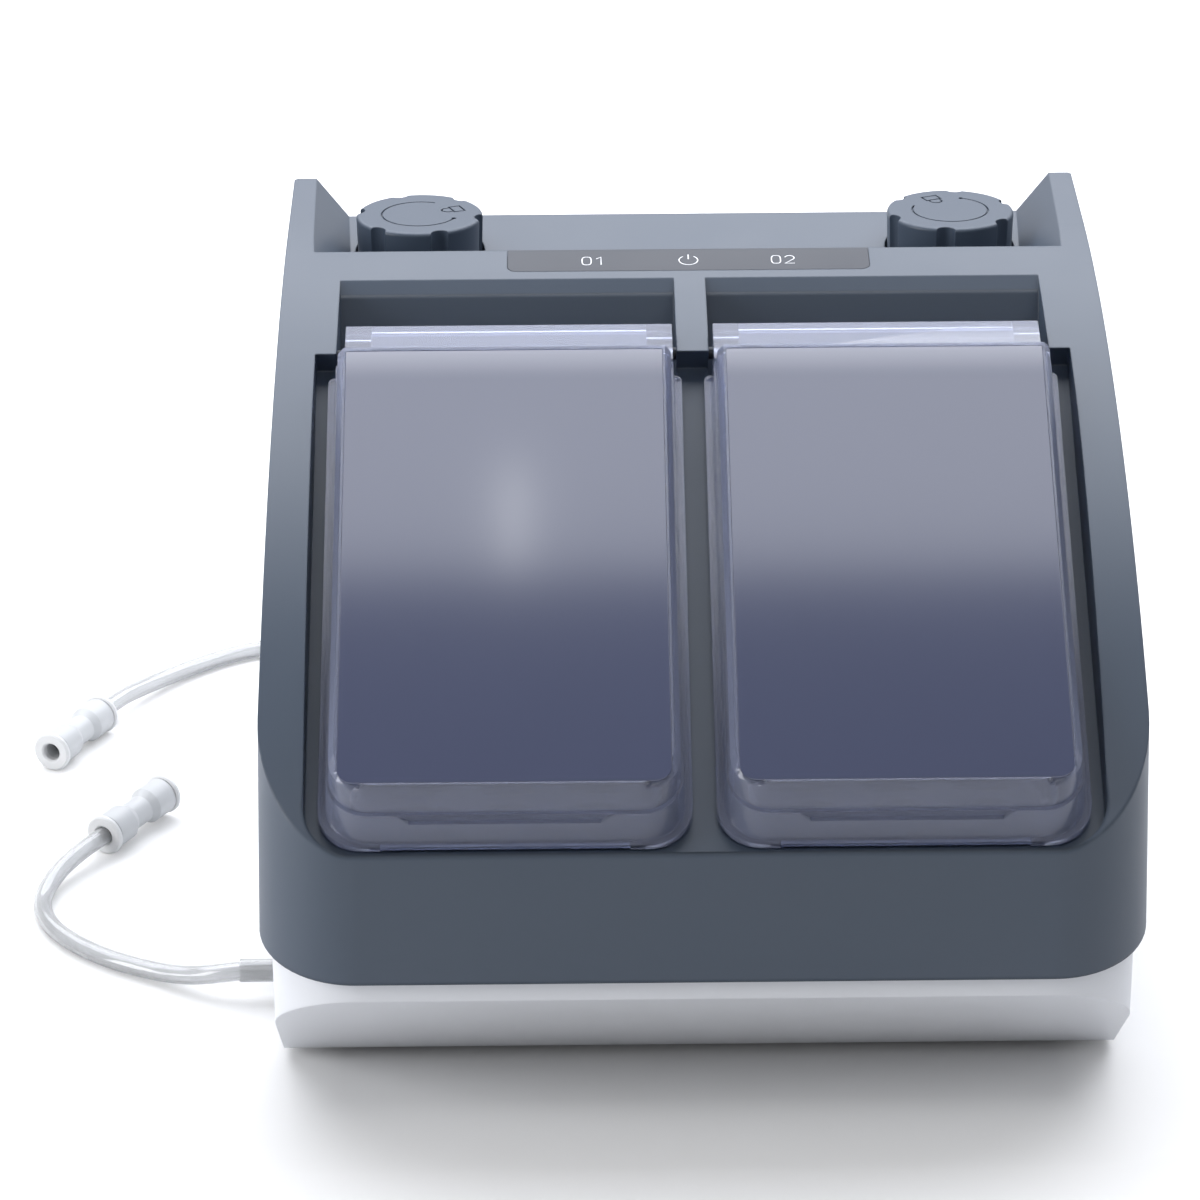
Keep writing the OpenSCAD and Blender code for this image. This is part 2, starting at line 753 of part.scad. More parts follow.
module lid_arm(x0) {
  along_x(x0, x0 + arm_w) union() {
    translate([hinge_y, hinge_z]) circle(knuckle_r, $fn = 48);
    polygon([[hinge_y - 11.5, hinge_z - 6.3], [hinge_y, hinge_z - knuckle_r], [hinge_y + knuckle_r, hinge_z],
             [hinge_y + 1, hinge_z + ledge_h], [hinge_y - 19, hinge_z + ledge_h - 5.4]]);
  }
}

// Shelf between the lid and its hinge arms, with a small lip turned down at its rear
module lid_ledge() {
  along_x(-ledge_w / 2, ledge_w / 2)
    polygon([[hinge_y - 19, hinge_z + ledge_h - 5.4], [hinge_y + 1, hinge_z + ledge_h],
             [hinge_y + 1, hinge_z + ledge_h - 3.5], [hinge_y - 1, hinge_z + ledge_h - 3.5],
             [hinge_y - 1, hinge_z + ledge_h - 2.5], [hinge_y - 16, hinge_z + ledge_h - 6.6]]);
}

module lid(side) {
  rear = lid_len - 2.3;
  skirt = 12;
  top_w = lid_w - 11;
  color(clear_col) at_origin() translate([side * lid_x, 0, 0]) difference() {
    union() {
      on_slope() {
        slab(0, 2.5) rounded(lid_w, 0, lid_len, 13, 2);
        hull() {
          slab(2.4, 2.5) lid_plan(lid_w - 4.2, 1.2, rear, 12);
          slab(skirt - 0.1, skirt) lid_plan(lid_w - 5.6, 4.7, rear, 10);
        }
        hull() {
          slab(skirt - 0.2, skirt - 0.1) lid_plan(lid_w - 6.6, 5.9, rear, 9);
          slab(lid_h - 3.1, lid_h - 3) lid_plan(lid_w - 7.4, 8.1, rear, 7.5);
          slab(lid_h - 0.1, lid_h) lid_plan(top_w, 9.8, rear - 0.1, 5.5);
        }
      }
      translate([-side * ledge_shift, 0, 0]) {
        lid_ledge();
        lid_arm(-ledge_w / 2);
        lid_arm(ledge_w / 2 - arm_w);
      }
    }
    on_slope() {
      hull() {
        slab(2.4, 2.5) lid_plan(lid_w - 4.2 - 2 * lid_wall, 1.2 + lid_wall + 0.4, rear - lid_wall, 9.5);
        slab(lid_h - 2.1, lid_h - 2) lid_plan(top_w - 2.2, 9.8 + 0.6, rear - lid_wall, 5);
      }
      slab(-1, 2.5) rounded(lid_w - 4.2 - 2 * lid_wall, 1.6 + lid_wall, lid_len - 23, 9.5, 3);
      slab(lid_h - window_t, lid_h + 1) lid_plan(top_w - 1.4, 10.4, rear - 1, 5);
      slab(-1, 0.8) translate([-36.5, -1]) square([73, 3]);
      grip_cut(skirt);
    }
    hinge_axis_x(lid_w) cylinder(h = 2 * lid_w, d = pin_d + 2 * pin_clear, $fn = 32);
  }
}

// Shallow finger grip in the front of the skirt
module grip_cut(skirt) {
  translate([0, 4.9, 0]) rotate([90, 0, 0]) linear_extrude(8)
    polygon([[-28, skirt - 3], [28, skirt - 3], [32, skirt + 0.3], [-32, skirt + 0.3]]);
}

module lid_window(side) {
  top_w = lid_w - 11;
  color(frost_col) at_origin() translate([side * lid_x, 0, 0]) on_slope()
    slab(lid_h - window_t + 0.02, lid_h) lid_plan(top_w - 1.5, 10.45, lid_len - 3.35, 4.95);
}

module hinge_pin(side) {
  x0 = 0.5;
  x1 = recess_x - 1.5;
  color(steel_col) at_origin() translate([side > 0 ? x0 : -x1, hinge_y, hinge_z]) rotate([0, 90, 0])
    cylinder(h = x1 - x0, d = pin_d, $fn = 32);
}

// ---------------------------------------------------------------- knobs

// One knob drawn at its axis, its seat at z = 0
module knob_body() {
  difference() {
    union() {
      rotate_extrude($fn = 96)
        polygon(concat([[0, 0], [knob_d / 2 - 0.4, 0], [knob_d / 2, knob_h - knob_edge]],
                       [for (a = [22.5:22.5:90])
                          [knob_d / 2 + knob_edge * (cos(a) - 1), knob_h + knob_edge * (sin(a) - 1)]],
                       [[0, knob_h]]));
      translate([0, 0, -6]) cylinder(h = 6.1, d = neck_d - 2 * neck_clear, $fn = 64);
    }
    for (a = [0:60:300]) {
      rotate([0, 0, a]) translate([knob_d / 2 + flute_r - flute_depth, 0, 0.8])
        cylinder(h = knob_h, r = flute_r, $fn = 48);
    }
    difference() {
      translate([0, 0, knob_h - engraved]) cylinder(h = 1, r = knob_ring, $fn = 64);
      translate([0, 0, knob_h - 1]) cylinder(h = 2, r = knob_ring - mark_line, $fn = 64);
      rotate([0, 0, mark_turn - 45]) translate([0, 0, knob_h - 1]) linear_extrude(2)
        polygon([[0, 0], [30, 0], [30, 30], [0, 30]]);
    }
    rotate([0, 0, mark_turn - 45]) translate([knob_ring - mark_line / 2, 0, knob_h - engraved])
      cylinder(h = 1, d = 1.6, $fn = 24);
    rotate([0, 0, mark_turn]) translate([knob_ring - 1.6, 0, knob_h - engraved]) lock_mark();
  }
}

// Small padlock outline, its body outwards and its shackle towards the knob's axis
module lock_mark() {
  body = [4.2, 5.8];
  shackle = 2.2;
  linear_extrude(1) {
    difference() {
      translate([0, -body[1] / 2]) square(body);
      translate([mark_line, mark_line - body[1] / 2]) square(body - [2 * mark_line, 2 * mark_line]);
    }
    difference() {
      union() {
        translate([-1.2, 0]) circle(shackle, $fn = 32);
        translate([-1.2, -shackle]) square([1.3, 2 * shackle]);
      }
      translate([-1.2, 0]) circle(shackle - mark_line, $fn = 32);
      translate([-1.2, mark_line - shackle]) square([3, 2 * (shackle - mark_line)]);
    }
  }
}

module knob(side) {
  turn = side < 0 ? -10 : 82;
  color([0.55, 0.60, 0.66]) at_origin() translate([side * knob_x, knob_y, seat_z]) rotate([0, 0, turn]) knob_body();
}

module filter_body(side) {
  color([0.92, 0.92, 0.90]) at_origin() translate([side * knob_x, knob_y, seat_z - 6 - filter_len]) {
    rotate_extrude($fn = 64)
      polygon([[0, 0], [filter_d / 2 - 3, 0], [filter_d / 2 - 1, 2], [filter_d / 2 - 1, filter_len - 6],
               [filter_d / 2 - 3, filter_len - 4], [filter_d / 2 - 3, filter_len], [0, filter_len]]);
  }
}

module filter_well(side) {
  top = seat_z - seat_depth;
  color([0.30, 0.32, 0.35]) at_origin() translate([side * knob_x, knob_y, 0]) difference() {
    union() {
      translate([0, 0, top - filter_len - 12])
        cylinder(h = filter_len + 12.5, d = filter_d + 2 * well_wall + 1, $fn = 64);
      translate([0, 0, top]) cylinder(h = 1, d = neck_d + 6, $fn = 64);
    }
    translate([0, 0, top - filter_len - 10]) cylinder(h = filter_len + 20, d = filter_d + 0.6, $fn = 64);
    translate([0, 0, top - 6]) cylinder(h = 20, d = neck_d, $fn = 64);
    translate([0, 0, top - filter_len - 20]) cylinder(h = 20, d = 5, $fn = 24);
  }
}

// ---------------------------------------------------------------- electrics

module control_board() {
  top = board_z + 1.5;
  color(board_col) at_origin() difference() {
    union() {
      translate([board_x, board_y0, board_z]) cube([board_w, board_y1 - board_y0, 1.6]);
      translate([board_x + 10, board_y0 + 10, top]) cube([18, 14, 12]);
      translate([board_x + 40, board_y0 + 12, top]) cube([24, 20, 10]);
      translate([board_x + 12, board_y1 - 22, top]) cube([40, 10, 9]);
      translate([board_x + 62, board_y1 - 24, top]) cube([16, 12, 3]);
    }
    for (x = fix_x, y = fix_y) {
      translate([x, y, 0]) cylinder(h = 40, d = 3.2, $fn = 24);
    }
  }
}

module power_supply() {
  color([0.70, 0.71, 0.72]) at_origin() difference() {
    translate([psu_x, board_y0, board_z]) cube([psu_w, board_y1 - board_y0, psu_h]);
    for (i = [0:8]) {
      translate([psu_x + 10 + i * 8, board_y0 + 10, board_z + psu_h - 2]) cube([3, board_y1 - board_y0 - 20, 4]);
    }
  }
}

module mains_inlet() {
  color([0.10, 0.10, 0.11]) at_origin() difference() {
    union() {
      translate([inlet_x - inlet_w / 2, rear_y, inlet_z - inlet_h / 2]) cube([inlet_w, flange_t, inlet_h]);
      translate([inlet_x - inlet_w / 2 + 3.5, rear_y - 22, inlet_z - inlet_h / 2 + 3.5])
        cube([inlet_w - 7, 23, inlet_h - 7]);
    }
    translate([inlet_x - 12, rear_y - 13, inlet_z - 8]) cube([24, 30, 16]);
    for (sx = [-1, 1]) {
      translate([inlet_x + sx * 20, rear_y + 1, inlet_z]) rotate([-90, 0, 0]) cylinder(h = 3, d = 5, $fn = 24);
    }
  }
  color(steel_col) at_origin() for (p = [[-7, 0], [7, 0], [0, 3]]) {
    translate([inlet_x + p[0] - 1, rear_y - 14, inlet_z + p[1] - 2]) cube([2, 12, 4]);
  }
}

module switch_frame() {
  color([0.12, 0.12, 0.13]) at_origin() difference() {
    union() {
      translate([switch_x - switch_w / 2, rear_y, inlet_z - switch_h / 2]) cube([switch_w, flange_t, switch_h]);
      translate([switch_x - switch_w / 2 + 1.8, rear_y - 14, inlet_z - switch_h / 2 + 1.8])
        cube([switch_w - 3.6, 15, switch_h - 3.6]);
    }
    translate([switch_x - rocker_w / 2 - 0.3, rear_y - 11, inlet_z - rocker_half - 1])
      cube([rocker_w + 0.6, 20, 2 * rocker_half + 2]);
    rocker_axis() cylinder(h = switch_w, d = pivot_d, center = true, $fn = 24);
  }
}

// Turns children so that their Z runs along X through the rocker pivot
module rocker_axis() {
  translate([switch_x, rear_y + flange_t - rocker_sink, inlet_z]) rotate([0, 90, 0]) children();
}

// Rocker with its pivot stubs, its lower half pressed in
module power_rocker() {
  color([0.18, 0.18, 0.20]) at_origin() {
    translate([switch_x - rocker_w / 2, rear_y + flange_t - rocker_sink, inlet_z])
      rotate([90, 0, 90]) linear_extrude(rocker_w) rotate(rocker_tilt)
        polygon([[4.4, -rocker_half], [3.2, 0], [4.4, rocker_half], [-1, rocker_half], [-4.5, 2.5], [-4.5, -2.5],
                 [-1, -rocker_half]]);
    rocker_axis() cylinder(h = rocker_w + 2.4, d = pivot_d - 0.1, center = true, $fn = 24);
  }
}

// ---------------------------------------------------------------- gas parts

// Push-in port: out in front of the wall, a narrower tail behind it, its mouth at the end of +Z
module port(d, out, tail_d, tail) {
  rotate_extrude($fn = 48)
    polygon([[tube_r + tube_gap, -tail], [tail_d / 2, -tail], [tail_d / 2, 0], [d / 2, 0], [d / 2, out - 0.8],
             [d / 2 - 0.8, out], [tube_r + tube_gap, out]]);
}

module rear_port() {
  color(union_col) at_origin() translate([rear_port_x, rear_y, rear_port_z]) rotate([-90, 0, 0])
    port(port_d, port_out, port_d - 4, port_tail);
}

module side_port() {
  color(union_col) at_origin() translate([-side_x, side_port_y, side_port_z]) rotate([0, -90, 0])
    port(port_d - 2.6, side_out, side_tail_d, side_port_tail);
}

module gas_manifold() {
  color([0.55, 0.56, 0.58]) at_origin() difference() {
    translate([rear_port_x - 14, rear_y - port_tail - manifold_d, floor_z])
      cube([manifold_w, manifold_d, rear_port_z - floor_z + 9]);
    translate([rear_port_x, rear_y - port_tail - manifold_d * 0.6, rear_port_z]) rotate([-90, 0, 0])
      cylinder(h = manifold_d + 5, d = tube_d - 1, $fn = 24);
    for (x = [manifold_w / 3, manifold_w * 0.6]) {
      translate([rear_port_x + x, rear_y - port_tail - manifold_d / 2, rear_port_z])
        cylinder(h = manifold_d + 5, d = tube_d - 1, $fn = 24);
    }
  }
}

module union_body() {
  half = union_len / 2 - collar_len;
  rotate_extrude($fn = 48)
    polygon([[union_bore / 2, -half], [union_d / 2, -half], [union_d / 2, -half + 9], [union_waist / 2, -4],
             [union_waist / 2, 4], [union_d / 2, half - 9], [union_d / 2, half], [union_bore / 2, half],
             [union_bore / 2, union_stop], [2, union_stop], [2, -union_stop], [union_bore / 2, -union_stop]]);
}

module union_collar() {
  end = union_len / 2;
  rotate_extrude($fn = 48)
    polygon([[union_bore / 2, end - 2.2], [collar_d / 2 - 0.6, end - 2.2], [collar_d / 2, end - 1.6],
             [collar_d / 2, end - 0.6], [collar_d / 2 - 0.6, end], [union_bore / 2 + 0.6, end],
             [union_bore / 2, end - 0.6]]);
  rotate_extrude($fn = 48)
    polygon([[union_bore / 2, end - collar_len], [union_d / 2 - 1.2, end - collar_len],
             [union_d / 2 - 1.2, end - 2.1], [union_bore / 2, end - 2.1]]);
}

// Places a union whose tube end is at a floor point, pointing along a heading
module union_at(place, heading, lift) {
  translate([place[0], place[1], union_z]) rotate([0, 0, heading]) rotate([0, 90 - lift, 0])
    translate([0, 0, union_len / 2]) children();
}

module upper_union() {
  color(union_col) at_origin() union_at(upper_union_at, upper_union_dir, 0) union_body();
}

module upper_collars() {
  color(base_col) at_origin() union_at(upper_union_at, upper_union_dir, 0) {
    union_collar();
    mirror([0, 0, 1]) union_collar();
  }
}

module lower_union() {
  color(union_col) at_origin() union_at(lower_union_at, lower_union_dir, union_lift) union_body();
}

module lower_collars() {
  color(base_col) at_origin() union_at(lower_union_at, lower_union_dir, union_lift) {
    union_collar();
    mirror([0, 0, 1]) union_collar();
  }
}

// Catmull-Rom point between p1 and p2
function blend(p0, p1, p2, p3, t) =
  0.5 * (2 * p1 + (p2 - p0) * t + (2 * p0 - 5 * p1 + 4 * p2 - p3) * t * t + (3 * p1 - p0 - 3 * p2 + p3) * t * t * t);

function smooth(pts, n) = let (m = len(pts) - 1)
  [for (i = [0:m - 1], k = [0:n - 1])
     blend(pts[max(i - 1, 0)], pts[i], pts[i + 1], pts[min(i + 2, m)], k / n), pts[m]];

function unit(v) = v / norm(v);

module sweep_tube(pts, r, sides) {
  m = len(pts) - 1;
  rings = [for (i = [0:m]) let (d = unit(pts[min(i + 1, m)] - pts[max(i - 1, 0)]),
                                u = unit(cross(d, [0, 0, 1])), w = cross(u, d))
             [for (k = [0:sides - 1]) pts[i] + r * (cos(360 * k / sides) * u + sin(360 * k / sides) * w)]];
  verts = [for (ring = rings) each ring];
  walls = [for (i = [0:m - 1], k = [0:sides - 1])
             [i * sides + k, i * sides + (k + 1) % sides, (i + 1) * sides + (k + 1) % sides, (i + 1) * sides + k]];
  caps = [[for (k = [sides - 1:-1:0]) k], [for (k = [0:sides - 1]) m * sides + k]];
  polyhedron(verts, concat(walls, caps), convexity = 6);
}

module upper_tube() {
  color([0.93, 0.93, 0.91, 0.6]) at_origin() sweep_tube(smooth(upper_route, 2), tube_r, 10);
}

module lower_tube() {
  color([0.93, 0.93, 0.91, 0.6]) at_origin() sweep_tube(smooth(lower_route, 2), tube_r, 10);
}

module lower_sleeve() {
  color([0.95, 0.95, 0.93, 0.6]) at_origin() translate([-side_x - side_out, side_port_y, side_port_z])
    rotate([0, -90, 0]) difference() {
      cylinder(h = sleeve_len, d = tube_d + 2 * tube_gap + 1.2, $fn = 32);
      translate([0, 0, -1]) cylinder(h = sleeve_len + 2, d = tube_d + 2 * tube_gap, $fn = 32);
    }
}

// ---------------------------------------------------------------- build

base_shell();
top_housing();
status_panel();
indicator_board();
gasket(-1);  // left_gasket
gasket(1);  // right_gasket
bay_liner(-1);  // left_bay_liner
bay_liner(1);  // right_bay_liner
heat_block(-1);  // left_heat_block
heat_block(1);  // right_heat_block
heater_mat(-1);  // left_heater_mat
heater_mat(1);  // right_heater_mat
insulation(-1);  // left_insulation
insulation(1);  // right_insulation
sensor(-1);  // left_sensor
sensor(1);  // right_sensor
cutout(-1);  // left_cutout
cutout(1);  // right_cutout
block_stand(-1);  // left_block_stand
block_stand(1);  // right_block_stand
hinge_pin(-1);  // left_hinge_pin
hinge_pin(1);  // right_hinge_pin
lid(-1);  // left_lid
lid(1);  // right_lid
lid_window(-1);  // left_lid_window
lid_window(1);  // right_lid_window
knob(-1);  // left_knob
knob(1);  // right_knob
filter_body(-1);  // left_filter
filter_body(1);  // right_filter
filter_well(-1);  // left_filter_well
filter_well(1);  // right_filter_well
control_board();
power_supply();
mains_inlet();
switch_frame();
power_rocker();
rear_port();
side_port();
gas_manifold();
rubber_feet();
case_screws();
upper_tube();
upper_union();
upper_collars();
lower_tube();
lower_sleeve();
lower_union();
lower_collars();
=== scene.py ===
# %% [markdown]
# # Dressing a two-bay dry block heater
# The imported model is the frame: every solid is already at its real size and place, in metres,
# with the floor at Z = 0 and the front towards -Y. This lesson adds what the solids don't hold: the
# camera and the light, the two gas tubes as real hollow hoses, the lids as thin clear mouldings
# with frosted windows, the marks on the status strip, and the finishes.

# %% Load the frame
import json
import math

import bmesh
import bpy
from mathutils import Matrix, Vector


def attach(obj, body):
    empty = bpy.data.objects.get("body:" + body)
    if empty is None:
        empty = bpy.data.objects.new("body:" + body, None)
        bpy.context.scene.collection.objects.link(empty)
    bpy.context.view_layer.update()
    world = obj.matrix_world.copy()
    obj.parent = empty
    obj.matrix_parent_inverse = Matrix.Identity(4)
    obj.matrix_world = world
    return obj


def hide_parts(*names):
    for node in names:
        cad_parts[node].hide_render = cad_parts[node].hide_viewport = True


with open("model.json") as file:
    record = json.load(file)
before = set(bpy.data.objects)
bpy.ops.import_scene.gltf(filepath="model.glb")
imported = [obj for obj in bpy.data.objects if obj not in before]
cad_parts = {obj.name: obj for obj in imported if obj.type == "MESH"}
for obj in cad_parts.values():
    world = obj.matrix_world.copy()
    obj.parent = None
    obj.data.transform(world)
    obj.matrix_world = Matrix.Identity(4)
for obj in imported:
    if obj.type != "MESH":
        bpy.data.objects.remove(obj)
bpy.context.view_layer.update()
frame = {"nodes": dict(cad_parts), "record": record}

MM = 0.001
print("frame loaded:", len(frame["nodes"]), "nodes")

# %% [markdown]
# ## Camera
# A product shot like this is taken from well back with a long lens, so that the sides stay almost
# upright. The camera stands a little to the left of the middle and looks down at about 23 degrees.

# %% Place the camera
CAMERA_AT = Vector((-0.04023, -1.40012, 0.71779))
PITCH, YAW, ROLL = 0.403, 0.00773, -0.006
LENS, SENSOR_WIDTH = 144.7, 36


def in_scene(name, data):
    """A new object for this data, linked into the scene."""
    piece = bpy.data.objects.new(name, data)
    bpy.context.scene.collection.objects.link(piece)
    return piece


def camera_axes(pitch, yaw, roll):
    """Right, up and backward directions of a camera that looks along +Y before it is turned."""
    forward = Vector((math.sin(yaw) * math.cos(pitch), math.cos(yaw) * math.cos(pitch),
                      -math.sin(pitch)))
    right = Vector((math.cos(yaw), -math.sin(yaw), 0))
    up = right.cross(forward)
    rolled_right = math.cos(roll) * right + math.sin(roll) * up
    rolled_up = -math.sin(roll) * right + math.cos(roll) * up
    return rolled_right, rolled_up, -forward


camera_data = bpy.data.cameras.new("studio_camera")
camera_data.sensor_width = SENSOR_WIDTH
camera_data.lens = LENS
camera = in_scene("studio_camera", camera_data)
turn = Matrix(camera_axes(PITCH, YAW, ROLL)).transposed().to_4x4()
camera.matrix_world = Matrix.Translation(CAMERA_AT) @ turn
bpy.context.scene.camera = camera
print("camera lens", camera_data.lens, "mm")

# %% [markdown]
# ## Small modelling helpers
# Blender's operators act on all that is selected, and the frame's nodes come in selected, so each
# operator starts from a clean selection. A copy of a solid is merged into one skin before it is
# shaped, because the frame's mesh is loose triangles.

# %% Selection, copy and sweep helpers
WELD = 0.002 * MM


def only(piece):
    """Select this object alone and make it active."""
    bpy.ops.object.select_all(action="DESELECT")
    piece.select_set(True)
    bpy.context.view_layer.objects.active = piece


def apply_modifiers(piece):
    """Apply every modifier on a piece, in order."""
    only(piece)
    for modifier in list(piece.modifiers):
        bpy.ops.object.modifier_apply(modifier=modifier.name)


def shade(piece, angle):
    """Smooth shading on the rounded edges, with the large faces kept flat."""
    only(piece)
    bpy.ops.object.shade_smooth_by_angle(angle=math.radians(angle))
    weighted = piece.modifiers.new("flat_faces", "WEIGHTED_NORMAL")
    weighted.keep_sharp = True
    weighted.weight = 100
    apply_modifiers(piece)


def settle(piece):
    """Move a piece's place, turn and size into its mesh."""
    only(piece)
    bpy.ops.object.transform_apply(location=True, rotation=True, scale=True)


def skin_of(node, name):
    """A copy of a solid's mesh, its loose triangles merged into one skin."""
    piece = frame["nodes"][node].copy()
    piece.data = piece.data.copy()
    piece.name = name
    for key in list(piece.keys()):
        del piece[key]
    piece.parent = None
    piece.matrix_world = Matrix.Identity(4)
    bpy.context.scene.collection.objects.link(piece)
    only(piece)
    bpy.ops.object.mode_set(mode="EDIT")
    bpy.ops.mesh.select_all(action="SELECT")
    bpy.ops.mesh.remove_doubles(threshold=WELD)
    bpy.ops.object.mode_set(mode="OBJECT")
    return piece


def swept(name, points, radius, resolution, caps):
    """A round line through these points, as a mesh."""
    curve = bpy.data.curves.new(name, "CURVE")
    curve.dimensions = "3D"
    curve.bevel_depth = radius
    curve.bevel_resolution = resolution
    curve.use_fill_caps = caps
    spline = curve.splines.new("POLY")
    spline.points.add(len(points) - 1)
    for point, place in zip(spline.points, points):
        point.co = (*place, 1)
    only(in_scene(name, curve))
    bpy.ops.object.convert(target="MESH")
    return bpy.context.object


# %% [markdown]
# ## Gas tubes
# Two soft 6 mm tubes leave the heater: one from a port behind, one low on the left side. Each lies
# on the bench and ends in a push-in union. The hose is a smooth curve through given points,
# swept to a pipe and given a real 1 mm wall, because a clear hose shows its bore.

# %% Routes of the two tubes, in millimetres from the front face
# The frame's middle lies ORIGIN_Y behind the front face, and the rear port ends at PORT_END. The
# lower union is tilted up a little, so its tube ends LOWER_LIFT higher.
ORIGIN_Y = 138.09
PORT_END = 276.18
UNION_Z = 7.0
LOWER_LIFT = 0.34
TUBE_RADIUS = 3 * MM
TUBE_WALL = 1 * MM
ROUTE_STEPS = 8
UPPER_ROUTE = [
    (-88, PORT_END - 12, 21), (-88, PORT_END, 21), (-88, 292, 20.6), (-89, 308, 17),
    (-92, 326, 11), (-99, 344, 6), (-110, 359, 3.6), (-126, 370, 3.2), (-144, 373, 3.2),
    (-161, 367, 3.2), (-176, 355, 3.4), (-189, 339, 4.6), (-199, 322, 6.6),
    (-206, 307, UNION_Z), (-211.3, 295.1, UNION_Z)]
LOWER_ROUTE = [
    (-126, 100, 10.5), (-135, 100, 10.5), (-146, 100.2, 10), (-154, 102, 8.2),
    (-163, 107, 5.4), (-174, 114, 3.6), (-188, 123, 3.2), (-201, 135, 3.2), (-210, 149, 3.2),
    (-213.6, 165, 3.4), (-210.5, 181, 5), (-204, 194, 6.6),
    (-197, 206, UNION_Z), (-190.5, 217.3, UNION_Z + LOWER_LIFT)]


def catmull(points, steps):
    """Points along a smooth curve that passes through every given point."""
    last = len(points) - 1
    line = []
    for i in range(last):
        p0, p1 = points[max(i - 1, 0)], points[i]
        p2, p3 = points[i + 1], points[min(i + 2, last)]
        for k in range(steps):
            t = k / steps
            line.append(0.5 * (2 * p1 + (p2 - p0) * t + (2 * p0 - 5 * p1 + 4 * p2 - p3) * t * t
                               + (3 * p1 - p0 - 3 * p2 + p3) * t ** 3))
    return line + [points[last]]


def in_frame(route):
    """A route's points in metres, in the frame's axes."""
    return [Vector((x, y - ORIGIN_Y, z)) * MM for x, y, z in route]


def hose(name, route):
    """A hollow tube along a route, with its centre line and the length of that line."""
    line = catmull(in_frame(route), ROUTE_STEPS)
    piece = swept(name, line, TUBE_RADIUS, resolution=6, caps=False)
    wall = piece.modifiers.new("tube_wall", "SOLIDIFY")
    wall.thickness = TUBE_WALL
    wall.offset = -1
    apply_modifiers(piece)
    bpy.ops.object.shade_smooth_by_angle(angle=math.radians(50))
    return piece, line, sum((b - a).length for a, b in zip(line, line[1:]))


upper_hose, upper_line, upper_length = hose("upper_hose", UPPER_ROUTE)
lower_hose, lower_line, lower_length = hose("lower_hose", LOWER_ROUTE)
for piece, node in ((upper_hose, "upper_tube"), (lower_hose, "lower_tube")):
    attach(piece, "chassis")
    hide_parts(node)
print("tubes", round(upper_length, 3), "m and", round(lower_length, 3), "m")

# %% [markdown]
# ## Lid shells
# Each lid is one thin clear moulding: a flange that lies in the recess, a skirt, a narrow step and
# a body that draws in to the top, where a frosted window is let in. Solidify would give the wall in
# one step, but its inner side crosses itself at the narrow step. So the outside is raised tier by
# tier from a face with round corners, the hollow is raised the same way and cut out, and the edges
# are rounded by weight. The hinge end is the frame's own shape, joined on behind.

# %% Sizes of a lid, in millimetres on the slope
# A lid's own axes start at the foot of the slope, LID_Y behind the front face and LID_Z up. A plan
# is a width, the place of the front and of the rear end, and a height. A corner is a radius and the
# number of its steps.
LID_PITCH, LID_Y, LID_Z, SLOPE = 117, 4, 98.8, math.radians(32.5)
OUTSIDE = [(109.96, 0, 168.8, 0.01), (109.96, 0, 168.8, 2.49), (105.8, 1.2, 168.8, 2.49),
           (104.4, 4.7, 168.8, 12), (103.4, 5.9, 168.8, 12), (102.6, 8.1, 168.8, 18),
           (99, 9.8, 168.8, 21)]
INSIDE = [(102, 3.3, 166.9, -1), (102, 3.3, 166.9, 1.8), (100.8, 6.4, 166.9, 10.4),
          (99.4, 8.6, 166.9, 17.2), (96.6, 11, 166.9, 19.2)]
WINDOW_SEAT = [(97.6, 10.4, 167.7, 20.2), (97.6, 10.4, 167.7, 22)]
PANE = [(97.4, 10.5, 167.6, 20.25), (97.4, 10.5, 167.6, 21)]
PANE_UPPER = 20.6
BEND_CUTS = (167, 166.2, 165.4)
BEND_START, BEND_LENGTH, BEND_DROP = 165.4, 2.2, 0.12
GRIP = [(64, -3, 4.9, 12.3), (56, -3, 4.9, 9)]
PULL = [(73, -1, 2, -1), (73, -1, 2, 0.8)]
HINGE_PART = [(140, 168.72, 200, -30), (140, 168.72, 200, 40)]
OUTSIDE_CORNER, INSIDE_CORNER, WINDOW_CORNER = (13, 10), (10, 8), (5, 8)
LID_WELD = 0.003 * MM
LID_EDGE = 0.5 * MM
PANE_EDGE = 0.25 * MM
FLAT = math.radians(0.2)


def on_slope(side):
    """The turn and place that carry a lid's own axes onto the sloped recess."""
    place = Vector((side * LID_PITCH / 2, LID_Y - ORIGIN_Y, LID_Z)) * MM
    return Matrix.Translation(place) @ Matrix.Rotation(SLOPE, 4, "X")


# %% Outline and tier helpers


def outline(name, plan, corner):
    """A single face of this plan, in edit mode, its front corners rounded if a corner is given."""
    width, front, rear, height = plan
    middle = Vector((0, (front + rear) / 2, height)) * MM
    bpy.ops.object.select_all(action="DESELECT")
    bpy.ops.mesh.primitive_plane_add(size=1, location=middle)
    piece = bpy.context.object
    piece.name = name
    piece.scale = (width * MM, (rear - front) * MM, 1)
    settle(piece)
    bpy.ops.object.mode_set(mode="EDIT")
    if corner:
        radius, steps = corner
        bpy.ops.mesh.select_mode(type="VERT")
        bpy.ops.mesh.select_all(action="DESELECT")
        edit = bmesh.from_edit_mesh(piece.data)
        for vertex in edit.verts:
            vertex.select = vertex.co.y < middle.y
        edit.select_flush(True)
        bmesh.update_edit_mesh(piece.data)
        bpy.ops.mesh.bevel(offset_type="OFFSET", offset=radius * MM, segments=steps, profile=0.5,
                           affect="VERTICES")
    bpy.ops.mesh.select_mode(type="FACE")
    bpy.ops.mesh.select_all(action="SELECT")
    return piece


